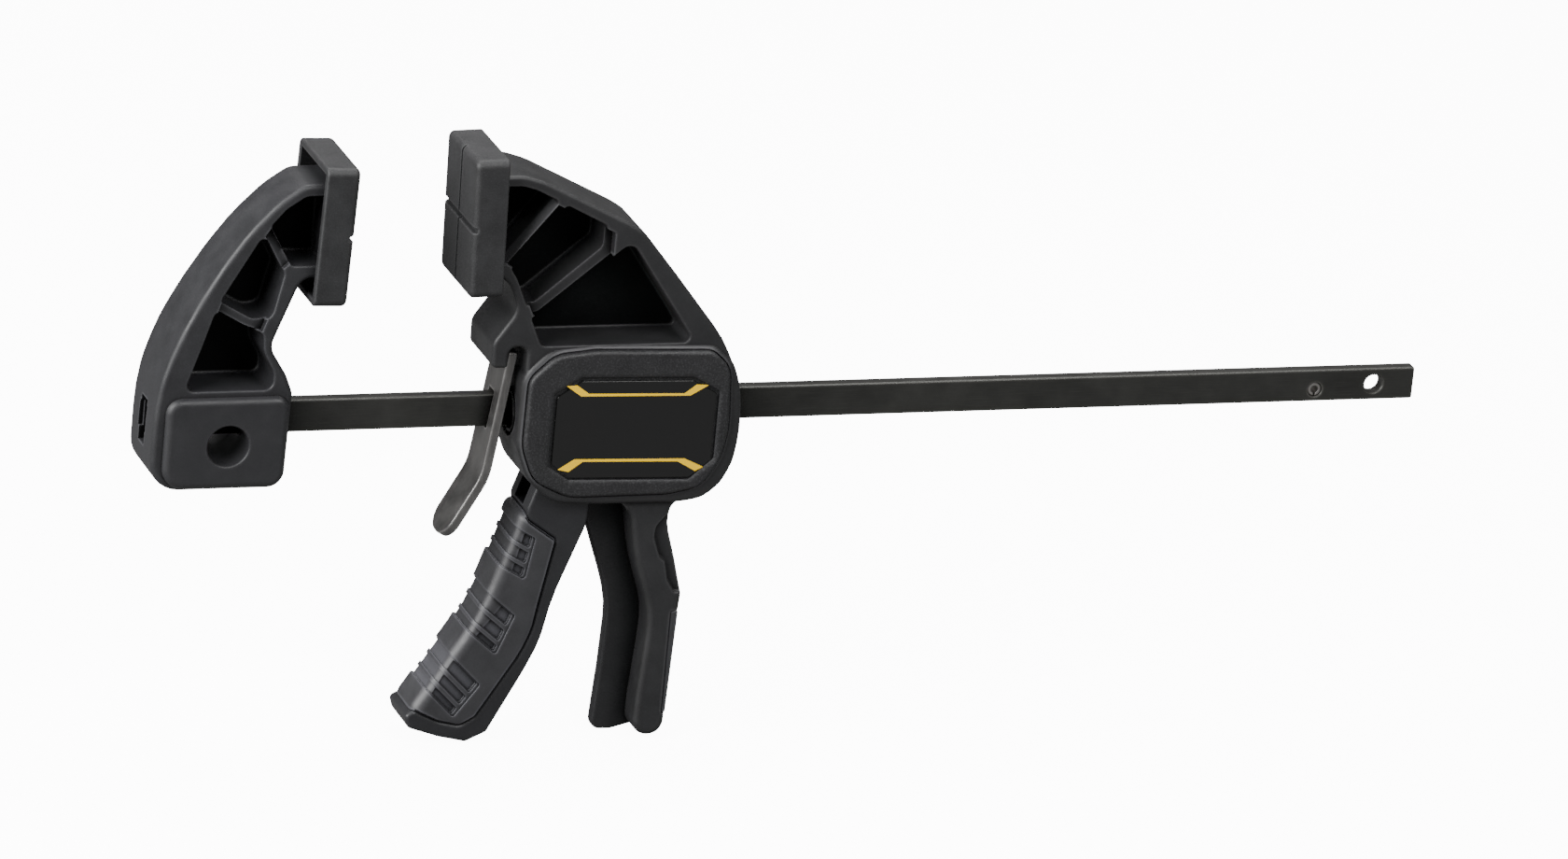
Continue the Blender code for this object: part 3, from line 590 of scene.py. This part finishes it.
CAVITY = [
    (16.2, 20, 3), (17.8, 26.8, 3), (76, 26.8, 4), (90, 8, 3), (90, -10, 3),
    (78, -26, 3), (56, -31.8, 3), (16.2, -31.8, 2)]

HANDLE_FLANGE = [
    (48, -27, 3), (49.4, -36.6, 5), (56.2, -43, 10), (59.5, -62, 60), (68.0, -87, 34),
    (68.0, -98, 50), (65.9, -128, 60), (65.7, -142.3, 6.4), (79.0, -142.3, 6.4),
    (79.9, -102, 90), (81.6, -79.6, 4), (77.2, -63, 60), (72.6, -48, 20), (73.6, -40.2, 6),
    (80.6, -35.4, 5), (82, -27, 3)]

HANDLE_WEB = [
    (38, -34, 1), (40.2, -48, 20), (50.0, -75, 60), (53.7, -88, 40), (52.8, -115, 90),
    (51.0, -143.6, 5), (60, -143.8, 8), (71, -141, 1), (71, -34, 1)]

HOLLOW = [
    (88, -41, 0), (72.0, -43.6, 4), (67.4, -49, 5), (67.2, -54, 5), (70.2, -62.4, 3),
    (72.8, -64.6, 2), (74.6, -73, 5), (78.0, -78.4, 1.5), (92, -80, 0)]

PIVOT = (24, 18)
SCREWS = [(12.6, 19.2), (85.6, 20.4), (83.4, -24.6), (12.5, -17.0)]


def make_body():
    body = loft("slider_body_detail", BODY_OUTER, plump(-16, 16, 1.7, 4), 7)
    join(body, loft("housing", HOUSING, plump(-17.5, 17.5, 2.6, 5), 7))
    for outline in ARM_POCKETS:
        cut(body, loft("pocket", outline, pocket(WEB_FRONT, -16.0, 1.4, 0.6), 6),
            loft("pocket", outline, pocket(WEB_REAR, 16.0, 1.4, 0.6), 6))
    for outline, front, rear in ARM_RIBS:
        cut(body, slab("rib_top", outline, -20.0, -front, 5),
            slab("rib_top", outline, rear, 20.0, 5))
    join(body, loft("flange", HANDLE_FLANGE, plump(-15, 15, 2.4, 5), 6),
         loft("web", HANDLE_WEB, plump(-2.8, 2.8, 1.3, 4), 6))
    cut(body, brick("strip_seat", (77.2, -20, -132.6), (88, 20, -86.6), 1.0))
    for side in (-1, 1):
        cut(body, loft("hollow", HOLLOW, pocket(side * 12.9, side * 15.0, 1.0, 0.5), 5))
        cut(body, loft("seat", COVER_OUTLINE, pocket(side * 14.5, side * 17.5, 0.1, 0.5), 6))
        for x, z in SCREWS:
            low, high = sorted((side * 10.0, side * 24.0))
            cut(body, spun("hole", (x, z), [(low, 1.85), (high, 1.85)], 24))
    cut(body,
        slab("cavity", CAVITY, -14.8, 14.8, 4),
        brick("trigger_mouth", (13.6, -13.4, -45.0), (54.8, 13.4, -27.5), 0.8),
        brick("channel", (-30, -3.5, -7.5), (130, 3.5, 7.5)),
        spun("spring_seat", (0, 0), [(0.0, 11.6), (14.0, 11.6)], 40, end_view))
    join(body, slab("web_root", [(38.6, -36.9, 0), (56, -36.9, 0), (56, -46, 0),
                                 (39.8, -46, 0)], -2.8, 2.8))
    put(body, NYLON, "slider", "body_nylon", "slider_body")


def make_cover(node, side):
    outline = offset(COVER_OUTLINE, -0.35)
    rings = [(14.8, 0.0)] + [(19.5 - 1.7 * (1 - math.sin(a)), -1.7 * (1 - math.cos(a)))
                             for a in quarter(6)]
    cover = loft(node + "_detail", outline, [(side * d, g) for d, g in rings], 7)
    cut(cover, spun("socket", PIVOT, sorted([(side * 13.0, 2.6), (side * 17.2, 2.6)]), 32))
    if side > 0:
        for x, z in SCREWS:
            cut(cover, spun("sink", (x, z), [(12, 1.85), (17.0, 1.85), (17.01, 3.5),
                                             (19.2, 3.5), (19.6, 3.9), (23, 3.9)], 32))
    else:
        recess = [(28.2, 19.6, 1.6), (76.9, 18.5, 1.6), (88.6, 11.9, 1.6), (88.6, -18.0, 1.6),
                  (78.2, -27.2, 1.6), (25.9, -25.9, 1.6), (16.4, -19.5, 1.6), (16.4, 12.4, 1.6)]
        cut(cover, loft("badge_seat", recess, [(-17.7, -0.35), (-18.7, -0.3), (-19.0, 0.1),
                                               (-19.52, 1.5), (-24.0, 1.5)], 4))
    put(cover, COVER, "slider", "cover_nylon", node)


def make_badge():
    plate = [(28.4, 17.6, 1), (76.6, 16.6, 1), (87.0, 10.8, 1), (87.0, -18.6, 1),
             (78.4, -25.8, 1), (26.2, -24.6, 1), (18.2, -18.4, 1), (18.2, 11.0, 1)]
    put(loft("badge_detail", plate, plump(-18.95, -17.75, 0.3, 3), 5),
        GLOSS, "slider", "badge_gloss", "badge")
    bands = {
        "badge_band_top": [
            (21.6, 15.8, 0.1), (26.2, 16.0, 0.1), (31.6, 12.2, 0.3), (73.0, 11.2, 0.3),
            (77.9, 14.9, 0.1), (83.2, 14.5, 0.1), (75.6, 10.1, 0.3), (28.3, 11.1, 0.3)],
        "badge_band_low": [
            (20.9, -20.8, 0.1), (25.7, -21.9, 0.1), (31.5, -17.6, 0.3), (72.6, -18.7, 0.3),
            (80.6, -23.2, 0.1), (84.0, -21.5, 0.1), (75.6, -17.5, 0.3), (27.7, -16.4, 0.3)]}
    for name, outline in bands.items():
        put(loft(name, outline, [(-18.9, 0.0), (-19.02, 0.0)], 3), YELLOW, "slider",
            "badge_gloss")


def make_screws():
    for number, (x, z) in enumerate(SCREWS, 1):
        screw = spun("cover_screw_%d_detail" % number, (x, z), [
            (-16.2, 0.9), (-15.6, 1.5), (17.2, 1.5), (17.2, 3.1), (18.0, 3.1), (18.5, 2.85),
            (18.85, 2.2), (19.0, 1.2)], 36)
        for spin in (45.0, 135.0):
            slot = brick("slot", (x - 1.8, 18.1, z - 0.38), (x + 1.8, 21, z + 0.38), 0.1)
            cut(screw, turned(slot, (x, z), spin))
        put(screw, ZINC, "slider", "pin_steel", "cover_screw_%d" % number)


def make_insert():
    strip = [(77.5, -86.9, 0.8), (77.5, -132.3, 0.8), (79.3, -132.3, 0.8), (80.9, -86.9, 0.8)]
    insert = loft("handle_insert_detail", strip, plump(-14.6, 14.6, 0.75, 4), 5)
    put(insert, GRIP, "slider", "grip_rubber", "handle_insert")


# ---------------------------------------------------------------- trigger
TRIGGER_RIM = [
    (15.6, -29.5, 2), (10.8, -44, 6), (18.4, -49.4, 1.2), (25.6, -54.4, 1.6),
    (20.4, -82.8, 30), (18.6, -94.4, 20), (14.4, -104.4, 30), (7.4, -115.6, 30),
    (-2.8, -132.0, 4), (-9.4, -135.8, 4), (-18.8, -133.6, 10), (-29.4, -128.4, 2),
    (-33.2, -130.4, 2), (-31.6, -136.0, 3), (-18, -140.6, 20), (-6.0, -143.2, 3),
    (2.8, -139.2, 3), (16.4, -113.2, 60), (22.4, -100.2, 30), (26.6, -80, 60),
    (38.4, -48, 20), (39.2, -29.5, 1)]

TRIGGER_CORE = [
    (16.4, -30.4, 1), (13.8, -45, 10), (8.4, -60, 40), (1.0, -78, 40), (-6.0, -93, 40),
    (-21.6, -117.6, 20), (-26.4, -125, 3), (-26.4, -133, 3), (-7, -139.4, 3),
    (13.6, -113, 60), (20.2, -98, 30), (24.8, -80, 60), (36.4, -48, 20), (37.4, -30.4, 1)]

GRIP_OUTER = [
    (9.4, -42.4, 4), (34.0, -44.0, 6), (24.4, -80, 40), (20, -99, 40), (13, -114, 60),
    (-2.6, -139.0, 7), (-34.6, -133.4, 6.1), (-8.9, -93.0, 60), (-1.9, -77.1, 60)]

CHANNEL_CUT = [
    (20.4, -26, 0), (17.6, -46, 6), (11.4, -62, 30), (2.4, -86, 30), (-5.0, -99, 30),
    (-13.8, -114, 3), (0, -121, 3), (40, -121, 0), (60, -26, 0)]

# bands of each finger group: (heights at the front), slope, start line, end line
BANDS = [
    ([(-48.5, -53.1), (-54.7, -59.3), (-60.9, -64.7)], 30.0,
     ((11.8, -51.0), (7.4, -69.0)), ((15.1, -53.5), (12.0, -71.4))),
    ([(-77.3, -82.4), (-84.2, -89.0), (-90.6, -93.3)], 40.0,
     ((3.8, -84.1), (-4.6, -95.3)), ((8.8, -88.0), (2.6, -103.3))),
    ([(-104.2, -108.7), (-110.3, -114.0), (-115.6, -118.5)], 45.0,
     ((-14.6, -107.2), (-22.4, -121.5)), ((-3.4, -117.2), (-12.8, -129.8)))]


def front_x(z):
    """Where the grip's front line lies at height z."""
    line = [(9.4, -42.4), (-1.9, -77.1), (-8.9, -93.0), (-34.6, -133.4)]
    for (x0, z0), (x1, z1) in zip(line, line[1:]):
        if z >= z1:
            return x0 + (x1 - x0) * (z - z0) / (z1 - z0)
    return line[-1][0]


def downhill(slope):
    """Direction of a finger band that falls by slope degrees."""
    return Vector((math.cos(math.radians(slope)), -math.sin(math.radians(slope))))


def meet(point, way, line):
    """Where a ray from point crosses the line through two points."""
    (x0, z0), (x1, z1) = line
    across = Vector((x1 - x0, z1 - z0))
    gap = Vector((x0 - point.x, z0 - point.y))
    below = way.x * across.y - way.y * across.x
    return point + way * ((gap.x * across.y - gap.y * across.x) / below)


def make_trigger():
    trigger = loft("trigger_detail", TRIGGER_RIM, plump(-12.2, 12.2, 1.5, 4), 6)
    join(trigger, loft("core", TRIGGER_CORE, plump(-9.9, 9.9, 3.0, 4), 5))
    cut(trigger, slab("channel", CHANNEL_CUT, -5.6, 5.6, 4),
        brick("neck_mouth", (4, -5.6, -41.0), (24, 5.6, -26), 1.2))
    for side in (-1, 1):
        low, high = sorted((side * 4.2, side * 8.4))
        arm = [(18.6, -34, 1), (17.6, 24.4, 6.4), (30.4, 24.4, 6.4), (30.4, 12, 6),
               (29.8, -6.6, 2), (33.5, -9.0, 2), (33.5, -15.0, 2), (30.2, -18, 2),
               (32.0, -34, 1)]
        join(trigger, slab("arm", arm, low, high, 5))
    cut(trigger, spun("bore", PIVOT, [(-20, 2.6), (20, 2.6)], 40))
    put(trigger, SMOOTH, "trigger", "trigger_nylon", "trigger")


def make_grip():
    grip = loft("trigger_grip_detail", GRIP_OUTER, plump(-13, 13, 5.2, 8), 7)
    sliced(grip, [-44.0 - 3.0 * step for step in range(32)])
    inner = loft("inner", offset(GRIP_OUTER, -1.3), plump(-11.7, 11.7, 4.2, 6), 6)
    shallow = loft("shallow", offset(GRIP_OUTER, -0.6), plump(-12.4, 12.4, 4.7, 6), 6)
    beds = None
    for heights, slope, _, end in BANDS:
        way = downhill(slope)
        near = [Vector((front_x(z), z)) for z in (heights[0][0] + 0.4, heights[-1][1] - 0.4)]
        far = [meet(point, way, end) + way * 1.3 for point in near]
        bed = slab("bed", [(*(near[0] - way * 8), 0), (*far[0], 1.2), (*far[1], 1.2),
                           (*(near[1] - way * 8), 0)], -20, 20, 4)
        beds = bed if beds is None else join(beds, bed)
    cut(beds, shallow)
    cut(grip, beds)
    slots = None
    for heights, slope, _, end in BANDS:
        way = downhill(slope)
        for top, bottom in heights:
            near = [Vector((front_x(z), z)) for z in (top, bottom)]
            far = [meet(point, way, end) for point in near]
            outline = [(*(near[0] - way * 8), 0), (*far[0], 0.8), (*far[1], 0.8),
                       (*(near[1] - way * 8), 0)]
            slot = slab("band", outline, -20, 20, 4)
            slots = slot if slots is None else join(slots, slot)
    cut(slots, inner)
    cut(grip, slots)
    for heights, slope, start, end in BANDS:
        way = downhill(slope)
        for top, bottom in heights:
            near = [Vector((front_x(z), z)) for z in (top - 0.25, bottom + 0.25)]
            first = [meet(point, way, start) for point in near]
            last = [meet(point, way, end) - way * 0.5 for point in near]
            outline = [(*first[0], 0.4), (*last[0], 0.7), (*last[1], 0.7), (*first[1], 0.4)]
            for side in (-1, 1):
                low, high = sorted((side * 10.9, side * 16.0))
                cut(grip, slab("window", outline, low, high, 3))
    cut(grip, loft("core", offset(TRIGGER_CORE, 0.2), plump(-10.1, 10.1, 2.9, 4), 5),
        slab("rim", offset(TRIGGER_RIM, 0.25), -20, 20, 5))
    for side in (-1, 1):
        low, high = sorted((side * 11.4, side * 20.0))
        cut(grip, slab("groove", offset(TRIGGER_RIM, 1.0), low, high, 5))
    put(grip, GRIP, "trigger", "grip_rubber", "trigger_grip")


# ---------------------------------------------------------------- release lever
def make_lever():
    top, knee, tip = Vector((0.6, 27.95)), Vector((-6.8, -26.9)), Vector((-21.7, -54.0))
    upper, lower = (knee - top), (tip - knee)
    bend, whole = upper.length, upper.length + lower.length
    angle_a, angle_b = (math.atan2(v.y, v.x) for v in (upper, lower))
    half, bend_steps, count = 5.0, 8, 400
    flat = [(-10, 0, 1.6), (10, 0, 1.6), (10, whole, 8.6), (-10, whole, 8.6)]
    lever = loft("release_lever_detail", flat, plump(-2, 2, 0.55, 3), 9,
                 end_view)
    cut(lever, slab("window", [(-3.5, 19.9, 0.8), (3.5, 19.9, 0.8), (3.5, 36.3, 0.8),
                               (-3.5, 36.3, 0.8)], -9, 9, 4, end_view))
    sliced(lever, [bend - half + 2 * half * step / bend_steps
                   for step in range(bend_steps + 1)])
    track = [top.copy()]
    facing = []
    for step in range(count + 1):
        along = whole * step / count
        share = min(1.0, max(0.0, (along - bend + half) / (2 * half)))
        facing.append(angle_a + (angle_b - angle_a) * share)
        track.append(track[-1] + Vector((math.cos(facing[-1]), math.sin(facing[-1])))
                     * (whole / count))
    slip = (tip - track[count]) / count
    for vertex in lever.data.vertices:
        place = min(count - 1e-6, max(0.0, vertex.co.z / MM / whole * count))
        index = int(place)
        point = track[index].lerp(track[index + 1], place - index) + slip * place
        turn = facing[index]
        out = Vector((-math.sin(turn), math.cos(turn))) * (-vertex.co.x / MM)
        vertex.co.x = (point.x - out.x) * MM
        vertex.co.z = (point.y - out.y) * MM
    work = bmesh.new()
    work.from_mesh(lever.data)
    bmesh.ops.recalc_face_normals(work, faces=work.faces)
    work.to_mesh(lever.data)
    work.free()
    put(lever, PLATE, "release_lever", "plate_steel", "release_lever")


# ---------------------------------------------------------------- carried-over nodes
def keep_nodes():
    """Give the hidden nodes that keep their CAD mesh a finish of their own."""
    for node, finish in (("jaw_pin", ZINC), ("trigger_pin", ZINC), ("drive_plate_a", PLATE),
                         ("drive_plate_b", PLATE), ("drive_spring", SPRING),
                         ("brake_spring", SPRING)):
        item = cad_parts[node]
        item.data.materials.clear()
        item.data.materials.append(finish)


make_bar()
make_fixed_jaw()
make_pad("fixed_pad", "bar", -75.0, 82.6, 1)
make_pad("moving_pad", "slider", -24.8, 84.8, -1)
make_body()
make_cover("cover_front", -1)
make_cover("cover_rear", 1)
make_badge()
make_screws()
make_insert()
make_trigger()
make_grip()
make_lever()
keep_nodes()


# ---------------------------------------------------------------- stage, light, camera
FLOOR_GLOW = 11.0  # seen by the camera only, so the floor reads as white
FLOOR_GREY = (0.16, 0.16, 0.16, 1.0)
SKY_STRENGTH = 0.16

# name, place, aim, size, watts
LAMPS = [
    ("key", (-1.7, -0.45, 1.0), (-0.05, 0, 0.12), (1.4, 1.3), 74.0),
    ("top", (0.15, 0.45, 1.5), (0.0, 0, 0.12), (1.6, 0.9), 24.0),
    ("fill", (0.35, -1.15, 1.45), (0.0, 0, 0.12), (1.2, 0.7), 22.0)]

LENS, SENSOR = 253.64, 36.0
EYE = (-1.51287, -4.01725, 1.70916)
AZIMUTH, ELEVATION, ROLL = -20.623, 20.196, 5.647


def make_stage():
    mesh = bpy.data.meshes.new("floor")
    mesh.from_pydata([(-9, -9, 0), (9, -9, 0), (9, 9, 0), (-9, 9, 0)], [], [(0, 1, 2, 3)])
    ground = bpy.data.objects.new("floor", mesh)
    bpy.context.scene.collection.objects.link(ground)
    mat = bpy.data.materials.new("floor")
    mat.use_nodes = True
    shader = mat.node_tree.nodes["Principled BSDF"]
    shader.inputs["Base Color"].default_value = (0.90, 0.90, 0.90, 1.0)
    shader.inputs["Roughness"].default_value = 0.9
    shader.inputs["Emission Color"].default_value = (1.0, 1.0, 1.0, 1.0)
    shader.inputs["Emission Strength"].default_value = FLOOR_GLOW
    dim = mat.node_tree.nodes.new("ShaderNodeBsdfDiffuse")
    dim.inputs["Color"].default_value = FLOOR_GREY
    rays = mat.node_tree.nodes.new("ShaderNodeLightPath")
    pick = mat.node_tree.nodes.new("ShaderNodeMixShader")
    link = mat.node_tree.links.new
    link(rays.outputs["Is Camera Ray"], pick.inputs[0])
    link(dim.outputs[0], pick.inputs[1])
    link(shader.outputs[0], pick.inputs[2])
    link(pick.outputs[0], mat.node_tree.nodes["Material Output"].inputs["Surface"])
    ground.data.materials.append(mat)
    world = bpy.data.worlds.new("studio")
    world.use_nodes = True
    sky = world.node_tree.nodes["Background"]
    sky.inputs["Color"].default_value = (1.0, 1.0, 1.0, 1.0)
    sky.inputs["Strength"].default_value = SKY_STRENGTH
    bpy.context.scene.world = world


def make_lamp(name, spot, aim, size, power):
    lamp = bpy.data.lights.new(name, "AREA")
    lamp.shape = "RECTANGLE"
    lamp.size, lamp.size_y = size
    lamp.energy = power
    item = bpy.data.objects.new(name, lamp)
    item.location = spot
    item.rotation_euler = (Vector(aim) - Vector(spot)).to_track_quat("-Z", "Y").to_euler()
    bpy.context.scene.collection.objects.link(item)


def make_camera():
    cam = bpy.data.cameras.new("camera")
    cam.lens = LENS
    cam.sensor_width = SENSOR
    eye = bpy.data.objects.new("camera", cam)
    bpy.context.scene.collection.objects.link(eye)
    az, el, roll = (math.radians(v) for v in (AZIMUTH, ELEVATION, ROLL))
    back = Vector((math.sin(az) * math.cos(el), -math.cos(az) * math.cos(el), math.sin(el)))
    right = (-back).cross(Vector((0, 0, 1))).normalized()
    up = right.cross(-back)
    side = math.cos(roll) * right + math.sin(roll) * up
    tall = -math.sin(roll) * right + math.cos(roll) * up
    eye.matrix_world = Matrix.Translation(EYE) @ Matrix(
        (side, tall, back)).transposed().to_4x4()
    bpy.context.scene.camera = eye


make_stage()
for lamp_values in LAMPS:
    make_lamp(*lamp_values)
make_camera()
